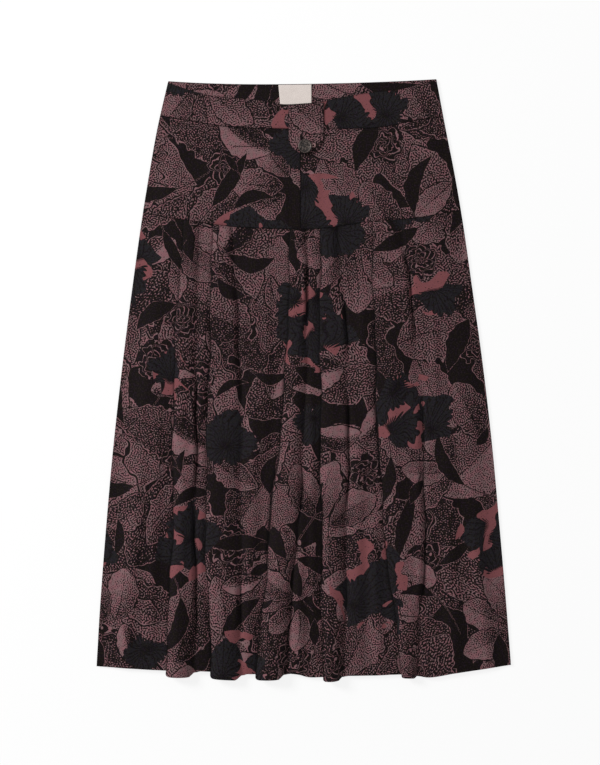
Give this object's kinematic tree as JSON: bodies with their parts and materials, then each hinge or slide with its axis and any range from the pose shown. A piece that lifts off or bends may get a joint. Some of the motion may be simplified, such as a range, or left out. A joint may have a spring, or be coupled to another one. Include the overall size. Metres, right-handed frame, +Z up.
{
  "type": "a-line skirt laid flat",
  "caption": "Midi a-line skirt laid flat: hip yoke, buttoned waist tab, flared panels with soft knife pleats and an all-over leaf print.",
  "frame": {"origin": "on the surface the skirt lies on, under the middle of its bounding box", "axes": "+Z up out of the front, +Y towards the waist, -X towards the left as seen from the front"},
  "size_m": [0.5382, 0.7828, 0.0128],
  "materials": {
    "printed_cloth": "soft matt woven cloth with a leaf print in mauve, charcoal and near-black",
    "label_cloth": "cream woven tape, bare",
    "button_metal": "dark grey, dull"
  },
  "bodies": {
    "root": {"waistband_back": "printed_cloth", "waistband_front_left": "printed_cloth", "waistband_front_right": "printed_cloth", "tab": "printed_cloth", "yoke_back": "printed_cloth", "yoke_front_left": "printed_cloth", "yoke_front_right": "printed_cloth", "skirt_front": "printed_cloth", "skirt_back": "printed_cloth", "label": "label_cloth", "button": "button_metal"}
  },
  "joints": []
}
